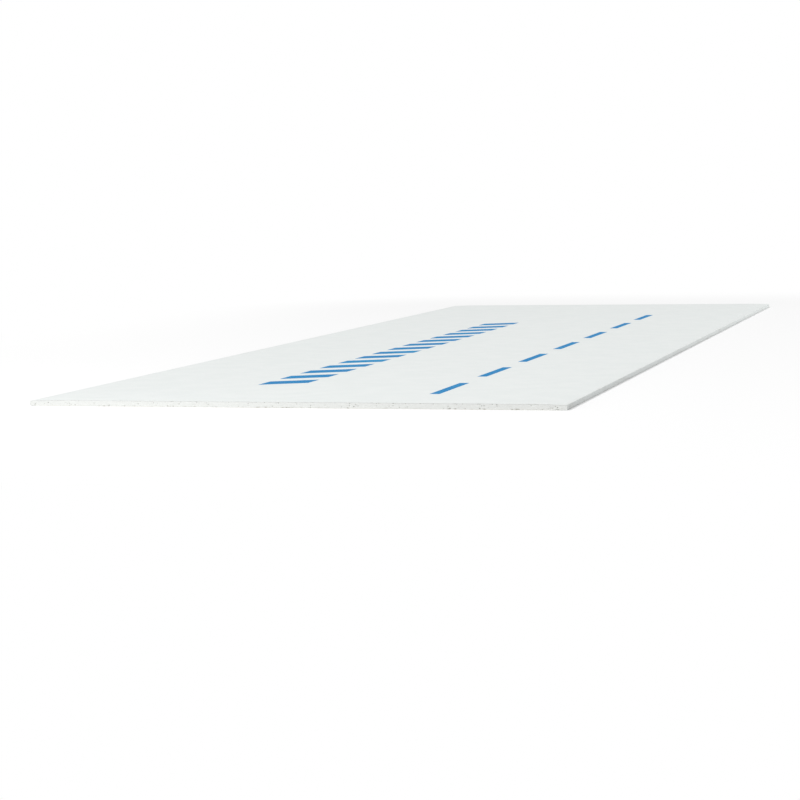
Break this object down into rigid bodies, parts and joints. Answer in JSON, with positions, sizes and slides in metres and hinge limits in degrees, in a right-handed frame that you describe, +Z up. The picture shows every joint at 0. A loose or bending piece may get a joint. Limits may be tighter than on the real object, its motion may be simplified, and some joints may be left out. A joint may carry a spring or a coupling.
{
  "type": "drywall sheet",
  "caption": "Flat rectangular paper-faced gypsum board with tapered long edges and square-sawn ends, screwed to framing to line walls and ceilings.",
  "frame": {"origin": "centre of the back face, on the surface that the sheet lies on", "axes": "+X across the width, +Y along the length, +Z up out of the face"},
  "size_m": [1.2192, 3.6576, 0.0127],
  "materials": {
    "face_paper": "matte pale cool-white face paper, wrapped over the long edges",
    "back_paper": "matte grey-brown recycled back paper",
    "gypsum_core": "matte white sawn gypsum with fine pores"
  },
  "bodies": {
    "root": {"drywall_sheet": "face_paper"}
  },
  "joints": []
}
